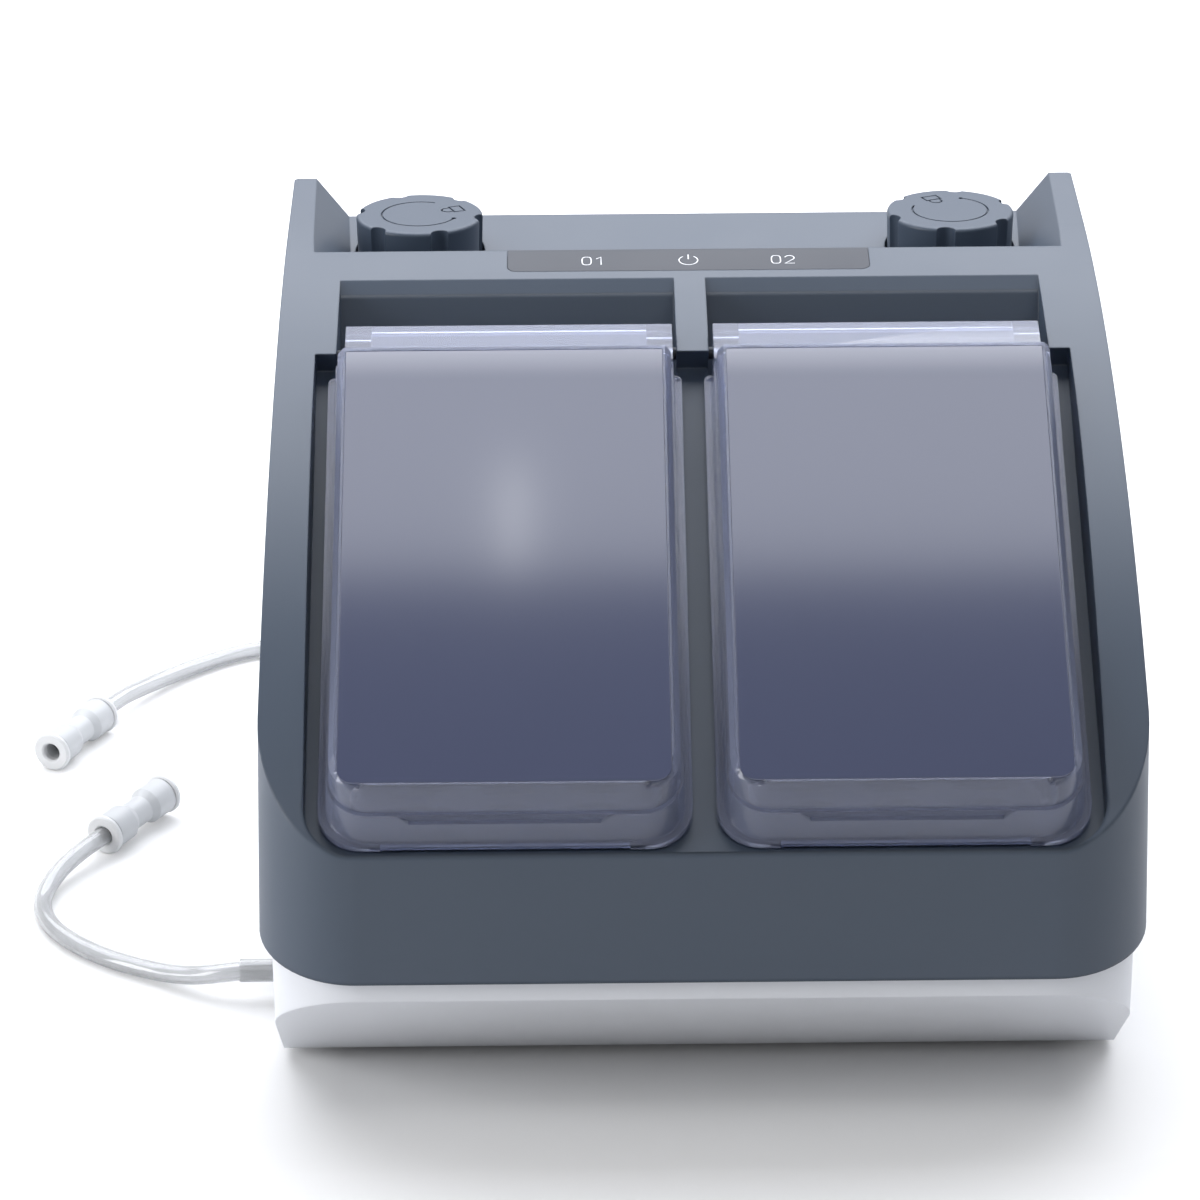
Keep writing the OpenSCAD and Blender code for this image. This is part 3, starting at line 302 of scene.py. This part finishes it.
def tier(last, plan):
    """Extrude the selected face and bring it from its last plan to the next one."""
    width, front, rear, height = plan
    last_width, last_front, last_rear, last_height = last
    bpy.ops.mesh.extrude_region_move()
    bpy.ops.transform.resize(
        value=(width / last_width, (rear - front) / (last_rear - last_front), 1),
        center_override=Vector((0, (last_front + last_rear) / 2, last_height)) * MM)
    bpy.ops.transform.translate(
        value=Vector((0, (front + rear - last_front - last_rear) / 2, height - last_height)) * MM)


def moulded(name, plans, corner=None):
    """A closed block raised through these plans, its front corners rounded if a corner is given."""
    piece = outline(name, plans[0], corner)
    for last, plan in zip(plans, plans[1:]):
        tier(last, plan)
    bpy.ops.mesh.select_all(action="SELECT")
    bpy.ops.mesh.dissolve_limited(angle_limit=FLAT)
    bpy.ops.mesh.select_all(action="SELECT")
    bpy.ops.mesh.normals_make_consistent(inside=False)
    bpy.ops.object.mode_set(mode="OBJECT")
    return piece


def is_closed(piece):
    """Whether every edge of a piece lies between two faces."""
    edit = bmesh.new()
    edit.from_mesh(piece.data)
    closed = all(edge.is_manifold for edge in edit.edges)
    edit.free()
    return closed


def combine(piece, other, operation):
    """Join, cut or keep a piece with another closed piece, which is used up."""
    # The exact solver leaves the cleanest faces. Where it leaves an edge open, the other one is used.
    start = piece.data.copy()
    for solver in ("EXACT", "MANIFOLD"):
        piece.data = start.copy()
        boolean = piece.modifiers.new(other.name, "BOOLEAN")
        boolean.operation = operation
        boolean.solver = solver
        boolean.object = other
        apply_modifiers(piece)
        if is_closed(piece):
            break
    bpy.data.objects.remove(other)


# %% Edge rounding by weight
# The hollow, the underside and the hinge end stay sharp. The other edges are known by their height:
# each row is a height, how near to it an edge has to be, and its weight. The top has an outer rim
# and, inside it, the finer rim of the window's seat.
SHARP = math.radians(20)
HOLLOW_X, HOLLOW_FRONT, HOLLOW_REAR = 48.6, 11, 167
UNDERSIDE, HINGE_FROM = 2.3, 168.9
FLANGE_TOP, FLANGE_REAR = 3, 168
EDGE_WEIGHTS = [(2.5, 0.1, 1), (9, 0.1, 0.8), (12, 0.2, 0.45), (18, 0.2, 0.8)]
TOP_FROM, RIM_WEIGHT, SEAT_WEIGHT = 20.9, 0.6, 0.3
RIM_X, RIM_FRONT, RIM_REAR = 49.1, 10.1, 168.2


def lid_edge_weight(middle):
    """Full rounding on the flange's edge, a finer one on the step and the window's rim."""
    x, v, h = middle
    hollow = abs(x) <= HOLLOW_X and HOLLOW_FRONT <= v <= HOLLOW_REAR
    hinge = v > HINGE_FROM or (h < FLANGE_TOP and v > FLANGE_REAR)
    if hollow or hinge or h < UNDERSIDE:
        return 0
    for height, reach, weight in EDGE_WEIGHTS:
        if abs(h - height) < reach:
            return weight
    if h > TOP_FROM:
        return RIM_WEIGHT if abs(x) > RIM_X or v < RIM_FRONT or v > RIM_REAR else SEAT_WEIGHT
    return 0


def weigh_edges(piece, rule):
    """Give each sharp edge the bevel weight that the rule finds for its middle."""
    edit = bmesh.new()
    edit.from_mesh(piece.data)
    layer = edit.edges.layers.float.new("bevel_weight_edge")
    count = 0
    for edge in edit.edges:
        if edge.is_manifold and edge.calc_face_angle(0) > SHARP:
            weight = rule((edge.verts[0].co + edge.verts[1].co) / 2 / MM)
            edge[layer] = weight
            count += weight > 0
    edit.to_mesh(piece.data)
    edit.free()
    return count


def round_edges(piece, width, segments, limit):
    """Bevel a piece's edges, those that have a weight or those that are sharp."""
    rounding = piece.modifiers.new("edge_radius", "BEVEL")
    rounding.width = width
    rounding.segments = segments
    rounding.limit_method = limit
    rounding.angle_limit = math.radians(40)
    apply_modifiers(piece)


# %% Raise the shells and lay in the windows


def hinge_end(side, word):
    """The rear end of the frame's lid, in the lid's own axes."""
    end = skin_of(word + "_lid", word + "_hinge_end")
    end.matrix_world = on_slope(side).inverted()
    settle(end)
    combine(end, moulded("keeper", HINGE_PART), "INTERSECT")
    return end


def lid_moulding(side, word):
    """One clear lid with its hinge end, on its slope."""
    lid = moulded(word + "_lid_moulding", OUTSIDE, OUTSIDE_CORNER)
    combine(lid, moulded("hollow", INSIDE, INSIDE_CORNER), "DIFFERENCE")
    combine(lid, moulded("window_seat", WINDOW_SEAT, WINDOW_CORNER), "DIFFERENCE")
    combine(lid, moulded("grip", GRIP), "DIFFERENCE")
    combine(lid, moulded("pull", PULL), "DIFFERENCE")
    combine(lid, hinge_end(side, word), "UNION")
    only(lid)
    bpy.ops.object.mode_set(mode="EDIT")
    bpy.ops.mesh.select_all(action="SELECT")
    bpy.ops.mesh.remove_doubles(threshold=LID_WELD)
    bpy.ops.mesh.dissolve_limited(angle_limit=FLAT)
    bpy.ops.object.mode_set(mode="OBJECT")
    edges = weigh_edges(lid, lid_edge_weight)
    round_edges(lid, LID_EDGE, segments=3, limit="WEIGHT")
    lid.matrix_world = on_slope(side)
    settle(lid)
    shade(lid, angle=32)
    print(lid.name, edges, "edges rounded,", len(lid.data.polygons), "faces")
    return lid


def frosted_window(side, word):
    """A thin pane with round corners, its rear edge bent down a little and its rim rounded."""
    pane = outline(word + "_pane", PANE[0], WINDOW_CORNER)
    tier(*PANE)
    for v in BEND_CUTS:
        bpy.ops.mesh.select_all(action="SELECT")
        bpy.ops.mesh.bisect(plane_co=Vector((0, v, 0)) * MM, plane_no=(0, 1, 0))
    bpy.ops.object.mode_set(mode="OBJECT")
    for vertex in pane.data.vertices:
        if vertex.co.z > PANE_UPPER * MM:
            bend = max(0, vertex.co.y / MM - BEND_START) / BEND_LENGTH
            vertex.co.z -= BEND_DROP * MM * bend ** 2
    round_edges(pane, PANE_EDGE, segments=2, limit="ANGLE")
    pane.matrix_world = on_slope(side)
    settle(pane)
    shade(pane, angle=30)
    return pane


lid_pieces = []
for side, word in ((-1, "left"), (1, "right")):
    moulding, pane = lid_moulding(side, word), frosted_window(side, word)
    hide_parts(word + "_lid")
    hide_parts(word + "_lid_window")
    for piece in (moulding, pane):
        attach(piece, word + "_lid")
    lid_pieces.append((moulding, pane))


# %% [markdown]
# ## Marks on the status strip
# The strip between the knobs carries three small pale marks: the numbers of the two bays and a
# standby sign. They are printed lines about 0.4 mm wide. Each is drawn as a stroke along a few
# points, made flatter than it is wide, and laid on the strip where a ray from above meets it.

# %% Draw the strokes
STROKE = 0.19 * MM
STROKE_HEIGHT = 0.3
MARK_Y = 200 - ORIGIN_Y
MARK_PITCH = 30.3
DIGIT = 2.6
FIRST_DIGIT, SECOND_DIGIT = -2.25, 2.1
SKY = 1000


def arc(radius, start, end, steps):
    """Points along part of a circle, angles in degrees from the right."""
    angles = [math.radians(start + (end - start) * k / steps) for k in range(steps + 1)]
    return [(radius * math.cos(a), radius * math.sin(a)) for a in angles]


def zero(x):
    """A narrow nought with full corners."""
    def full(value):
        return math.copysign(abs(value) ** 0.62, value)
    return [(x + 1.45 * full(a), DIGIT * full(b)) for a, b in arc(1, 0, 360, 32)]


def one(x):
    """A one with a short flag."""
    return [(x - 1.3, 1.35), (x + 0.25, DIGIT), (x + 0.25, -DIGIT)]


def two(x):
    """A two: a round head, a straight leg and a foot."""
    head = [(x + a, b + 1.05) for a, b in arc(1.5, 165, -35, 14)]
    return head + [(x - 1.55, -DIGIT), (x + 1.6, -DIGIT)]


def stroke(points):
    """One round line through these points, lying flat."""
    line = [(x * MM, y * MM, 0) for x, y in points]
    return swept("stroke", line, STROKE, resolution=2, caps=True)


def mark(name, lines, x):
    """The strokes of one mark as one piece, laid on the strip at this place."""
    strokes = [stroke(points) for points in lines]
    only(strokes[0])
    for piece in strokes:
        piece.select_set(True)
    bpy.ops.object.join()
    piece = bpy.context.object
    piece.name = name
    strip = frame["nodes"]["status_panel"]
    seat, normal = strip.ray_cast(Vector((x, MARK_Y, SKY)) * MM, Vector((0, 0, -1)))[1:3]
    lie = normal.to_track_quat("Z", "Y").to_matrix().to_4x4()
    flatten = Matrix.Scale(STROKE_HEIGHT, 4, (0, 0, 1))
    piece.matrix_world = Matrix.Translation(seat) @ lie @ flatten
    settle(piece)
    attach(piece, "chassis")
    print(name, "on the strip at", [round(c / MM, 1) for c in seat])
    return piece


marks = [
    mark("bay_one_number", [zero(FIRST_DIGIT), one(SECOND_DIGIT)], -MARK_PITCH),
    mark("standby_sign", [arc(3, 125, 415, 28), [(0, 0.7), (0, 3.7)]], 0),
    mark("bay_two_number", [zero(FIRST_DIGIT), two(SECOND_DIGIT)], MARK_PITCH),
]

# %% [markdown]
# ## Bench, lamps and world
# The bench is a pale seamless sheet. To the camera it also glows: not at all under the heater, a
# little from just around it, and more towards the horizon, so that it fades to white.
#
# One very large soft panel hangs level above, from over the upper part of the lids to well behind
# the heater. The sloped lids mirror its front edge, so they are pale at the top and dark below, and
# the front face stays in shade. A lamp on the left lights the front corner, a weak one lifts the
# front, and a tiny one leaves a soft glint on the left window.

# %% Node helpers


def add(tree, kind, inputs=(), **settings):
    """A new shader node with these settings, and with a value or a link on each of these inputs."""
    node = tree.nodes.new("ShaderNode" + kind)
    for name, value in settings.items():
        setattr(node, name, value)
    for socket, value in dict(inputs).items():
        if isinstance(value, bpy.types.NodeSocket):
            tree.links.new(value, node.inputs[socket])
        else:
            node.inputs[socket].default_value = value
    return node


def new_material(name):
    """A new node material, cleared, with its tree."""
    material = bpy.data.materials.new(name)
    material.use_nodes = True
    material.node_tree.nodes.clear()
    return material, material.node_tree


def eased(tree, value, start, end, low, high):
    """A value that eases from low to high while another goes from start to end."""
    ramp = add(tree, "MapRange", {"Value": value, "From Min": start, "From Max": end,
                                  "To Min": low, "To Max": high}, interpolation_type="SMOOTHSTEP")
    return ramp.outputs["Result"]


# %% Make the bench
BENCH_SIZE = 12
BENCH_TONE = (0.74, 0.74, 0.74, 1)
HALF_SHADE = (0.11, 0.105, 0)
NEAR_END, NEAR_GLOW = 0.045, 0.2
FAR_START, FAR_END, FAR_GLOW = 0.5, 2.4, 0.7

bpy.ops.object.select_all(action="DESELECT")
bpy.ops.mesh.primitive_plane_add(size=BENCH_SIZE, location=(0, 0, 0))
bench = bpy.context.object
bench.name = "bench"
bench_mat, tree = new_material("pale_bench")
spot = add(tree, "TexCoord").outputs["Object"]
fold = add(tree, "VectorMath", {0: spot}, operation="ABSOLUTE")
past = add(tree, "VectorMath", {0: fold.outputs[0], 1: HALF_SHADE}, operation="SUBTRACT")
clear = add(tree, "VectorMath", {0: past.outputs[0]}, operation="MAXIMUM")
away = add(tree, "VectorMath", {0: clear.outputs[0]}, operation="LENGTH").outputs["Value"]
near = add(tree, "MapRange", {"Value": away, "From Max": NEAR_END, "To Max": NEAR_GLOW})
far = add(tree, "MapRange", {"Value": away, "From Min": FAR_START, "From Max": FAR_END,
                             "To Max": FAR_GLOW})
total = add(tree, "Math", {0: near.outputs["Result"], 1: far.outputs["Result"]}, operation="ADD")
path = add(tree, "LightPath")
seen = add(tree, "Math", {0: path.outputs["Is Camera Ray"], 1: total.outputs[0]},
           operation="MULTIPLY")
glow = add(tree, "Emission", {"Strength": seen.outputs[0]})
diffuse = add(tree, "BsdfDiffuse", {"Color": BENCH_TONE})
both = add(tree, "AddShader", {0: diffuse.outputs[0], 1: glow.outputs[0]})
add(tree, "OutputMaterial", {"Surface": both.outputs[0]})
bench.data.materials.append(bench_mat)
print("bench", BENCH_SIZE, "m wide")

# %% Hang the lamps
PANEL_Z, PANEL_FRONT = 1.3, -0.03
PANEL_WIDE, PANEL_DEEP = 3.0, 2.2
PANEL_GLOW = 4.0
PANEL_TINT = (0.93, 0.95, 1.0)


def soft_lamp(name, place, aim, size, power, tint=(1, 1, 1)):
    """A rectangular soft lamp at a place, turned to a point."""
    data = bpy.data.lights.new(name, "AREA")
    data.shape = "RECTANGLE"
    data.size, data.size_y = size
    data.energy = power
    data.color = tint
    lamp = in_scene(name, data)
    lamp.location = place
    lamp.rotation_euler = (Vector(aim) - Vector(place)).to_track_quat("-Z", "Y").to_euler()


panel_middle = PANEL_FRONT + PANEL_DEEP / 2
soft_lamp("panel_above", (0, panel_middle, PANEL_Z), (0, panel_middle, 0),
          (PANEL_WIDE, PANEL_DEEP), PANEL_GLOW * math.pi * PANEL_WIDE * PANEL_DEEP, PANEL_TINT)
soft_lamp("lamp_left", place=(-1.3, -0.55, 0.5), aim=(-0.1, -0.1, 0.08), size=(0.5, 0.9), power=11)
soft_lamp("lamp_front", place=(0.2, -1.1, 1.3), aim=(0, -0.1, 0), size=(1.4, 0.9), power=6)
soft_lamp("glint_left", place=(-0.067, -0.002, 1.25), aim=(-0.067, -0.002, 0), size=(0.014, 0.05),
          power=0.012)
print(len(bpy.data.lights), "lamps")

# %% Set the world
# The camera sees white everywhere. The gloss sees a room that is white behind the heater, near the
# bench, and dims towards the ceiling and the camera. Diffuse surfaces take less of its light.
WORLD_TINT = (0.96, 0.97, 1.0, 1)
TO_CEILING = (0.15, 0.75, 1.0, 0.06)
TO_REAR_WALL = (-0.6, 0.4, 0.25, 1.0)
DIFFUSE_SHARE = 0.8
world = bpy.data.worlds.new("studio_world")
world.use_nodes = True
bpy.context.scene.world = world
tree = world.node_tree
heading = add(tree, "TexCoord")
parts = add(tree, "SeparateXYZ", {0: heading.outputs["Generated"]})
rise = eased(tree, parts.outputs["Z"], *TO_CEILING)
rear = eased(tree, parts.outputs["Y"], *TO_REAR_WALL)
room = add(tree, "Math", {0: rise, 1: rear}, operation="MULTIPLY").outputs[0]
fill = add(tree, "Math", {0: room, 1: DIFFUSE_SHARE}, operation="MULTIPLY").outputs[0]
rays = add(tree, "LightPath")
dim = add(tree, "Mix", {"Factor": rays.outputs["Is Diffuse Ray"], "A": room, "B": fill})
white = add(tree, "Mix", {"Factor": rays.outputs["Is Camera Ray"], "A": dim.outputs["Result"],
                          "B": 1.0})
background = tree.nodes["Background"]
background.inputs["Color"].default_value = WORLD_TINT
tree.links.new(white.outputs["Result"], background.inputs["Strength"])
bpy.context.scene.view_settings.view_transform = "Standard"
print("studio ready")

# %% [markdown]
# ## Finishes
# Every finish is a Principled shader with a little procedural life, all in object coordinates: a
# faint colour drift, a roughness that wanders a little and a fine moulded texture in the bump. The
# edges of the opaque finishes shade as if slightly rounded. The frosted window also has a painted
# highlight along its rear edge.

# %% Finish builder
GRAIN = 0.15 * MM
ROUGH_DRIFT = 0.04
DRIFT_SCALE = 30
HOUSING_EDGE, FRONT_EDGE = 0.8 * MM, 2 * MM
FRONT_BAND = (-128 * MM, -120 * MM)
# Painted highlight: a paler colour is mixed into the frosted window across a band near its rear edge,
# in place of the bright reflection at its bend.
PAINTED_HIGHLIGHT_TONE, PAINTED_HIGHLIGHT_SHARE = (0.4, 0.41, 0.47, 1), 0.4
PAINTED_HIGHLIGHT_BAND = (-14 * MM, -4 * MM)


def srgb(red, green, blue):
    """A screen colour, 0 to 255, as the linear values that a shader takes."""
    def linear(value):
        value /= 255
        return value / 12.92 if value <= 0.04045 else ((value + 0.055) / 1.055) ** 2.4
    return linear(red), linear(green), linear(blue)


def plastic(name, color, rough=0.4, drift=0.03, bump=0.02, transmission=0.0, ior=1.46, coat=0.0,
            coat_ior=1.5, metal=0.0, specular=0.5, edge=0.4 * MM):
    """A finish with faint drift in colour and roughness, a fine grain and rounded edges."""
    material, tree = new_material(name)
    place = add(tree, "TexCoord").outputs["Object"]
    noise = add(tree, "TexNoise", {"Vector": place, "Scale": DRIFT_SCALE, "Detail": 3})
    broad = noise.outputs["Fac"]
    tint = add(tree, "Mix", {"Factor": broad, "A": (*[c * (1 - drift) for c in color], 1),
                             "B": (*[min(c * (1 + drift), 1) for c in color], 1)},
               data_type="RGBA", name="tint")
    spread = add(tree, "MapRange", {"Value": broad, "To Min": rough - ROUGH_DRIFT,
                                    "To Max": rough + ROUGH_DRIFT})
    fine = add(tree, "TexNoise", {"Vector": place, "Scale": 1 / (GRAIN * 4), "Detail": 2})
    relief = add(tree, "Bump", {"Height": fine.outputs["Fac"], "Strength": bump, "Distance": GRAIN})
    if edge:
        rounding = add(tree, "Bevel", {"Radius": edge}, samples=6, name="edge_radius")
        tree.links.new(rounding.outputs["Normal"], relief.inputs["Normal"])
    shader = add(tree, "BsdfPrincipled", {
        "Base Color": tint.outputs["Result"], "Roughness": spread.outputs["Result"],
        "Normal": relief.outputs["Normal"], "Metallic": metal, "IOR": ior,
        "Specular IOR Level": specular, "Transmission Weight": transmission,
        "Coat Weight": coat, "Coat Roughness": 0.1, "Coat IOR": coat_ior}, name="surface")
    add(tree, "OutputMaterial", {"Surface": shader.outputs[0]})
    return material


def along_y(tree, band, low, high):
    """A value that eases from low to high across a band of the object's Y axis."""
    place = add(tree, "TexCoord")
    parts = add(tree, "SeparateXYZ", {0: place.outputs["Object"]})
    return eased(tree, parts.outputs["Y"], *band, low, high)


def housing_plastic():
    """The moulded housing: its front edges are rounder than the rest."""
    material = plastic("housing_plastic", srgb(60, 72, 88), rough=0.44, edge=HOUSING_EDGE,
                       specular=0.75)
    tree = material.node_tree
    radius = along_y(tree, FRONT_BAND, FRONT_EDGE, HOUSING_EDGE)
    tree.links.new(radius, tree.nodes["edge_radius"].inputs["Radius"])
    return material


def frosted_pane():
    """The smoky window: a dark body under a glossy face, with a painted highlight along its rear
    edge.
    """
    material = plastic("frosted_window", srgb(72, 77, 99), rough=0.3, drift=0.02, coat=1.0,
                       coat_ior=1.6, specular=0, edge=0)
    tree = material.node_tree
    # Painted highlight: the pane's colour turns paler across the band at its rear edge.
    painted_highlight = add(tree, "Mix", {"Factor": along_y(tree, PAINTED_HIGHLIGHT_BAND, 0, PAINTED_HIGHLIGHT_SHARE),
                             "A": tree.nodes["tint"].outputs["Result"], "B": PAINTED_HIGHLIGHT_TONE},
               data_type="RGBA")
    tree.links.new(painted_highlight.outputs["Result"], tree.nodes["surface"].inputs["Base Color"])
    return material


# %% Give each solid and each new piece its finish
FINISHES = {
    "housing": housing_plastic(),
    "base": plastic("base_plastic", srgb(221, 223, 228), rough=0.38, drift=0.01,
                    edge=HOUSING_EDGE),
    "lid_clear": plastic("clear_lid", srgb(190, 197, 222), rough=0.16, drift=0.01, bump=0.0,
                         transmission=0.82, edge=0),
    "lid_frosted": frosted_pane(),
    "panel": plastic("panel_window", srgb(50, 54, 64), rough=0.36, specular=0.3),
    "knob": plastic("knob_plastic", srgb(68, 79, 94), rough=0.4, edge=0.5 * MM),
    "steel": plastic("plain_steel", srgb(190, 192, 196), rough=0.3, metal=1.0),
    "aluminium": plastic("block_aluminium", srgb(170, 172, 176), rough=0.4, metal=1.0),
    "silicone": plastic("silicone_seal", srgb(60, 62, 68), rough=0.6),
    "heater": plastic("heater_mat_rubber", srgb(190, 96, 40), rough=0.6),
    "foam": plastic("foam_jacket", srgb(224, 220, 204), rough=0.9, bump=0.3),
    "board": plastic("circuit_board", srgb(26, 92, 60), rough=0.5),
    "black": plastic("black_plastic", srgb(34, 34, 38), rough=0.4),
    "rocker": plastic("rocker_gloss", srgb(44, 44, 48), rough=0.2),
    "feet": plastic("foot_rubber", srgb(40, 40, 42), rough=0.8),
    "filter": plastic("filter_white", srgb(226, 226, 220), rough=0.5),
    "cup": plastic("cup_plastic", srgb(88, 92, 100), rough=0.5),
    "manifold": plastic("manifold_metal", srgb(150, 152, 156), rough=0.35, metal=1.0),
    "metal_case": plastic("zinc_case", srgb(186, 188, 190), rough=0.4, metal=1.0),
    "fitting": plastic("fitting_plastic", srgb(186, 188, 190), rough=0.35),
    "collar": plastic("collar_plastic", srgb(212, 213, 214), rough=0.3),
    "tube": plastic("tube_plastic", srgb(232, 233, 234), rough=0.12, transmission=0.8, ior=1.45,
                    edge=0),
}
pin_finish = plastic("burnished_pin", srgb(62, 64, 68), rough=0.35, metal=1.0)
mark_finish = plastic("printed_mark", srgb(238, 240, 244), rough=0.5, edge=0)
SLOT_OF = {part["node"]: part["material_slot"] for part in frame["record"]["subparts"]}


def finish(piece, material):
    """Give a piece this finish alone."""
    piece.data.materials.clear()
    piece.data.materials.append(material)


for node, piece in frame["nodes"].items():
    finish(piece, pin_finish if node.endswith("hinge_pin") else FINISHES[SLOT_OF[node]])
for piece in (upper_hose, lower_hose):
    finish(piece, FINISHES["tube"])
for moulding, pane in lid_pieces:
    finish(moulding, FINISHES["lid_clear"])
    finish(pane, FINISHES["lid_frosted"])
for piece in marks:
    finish(piece, mark_finish)
print(len(FINISHES), "finishes")
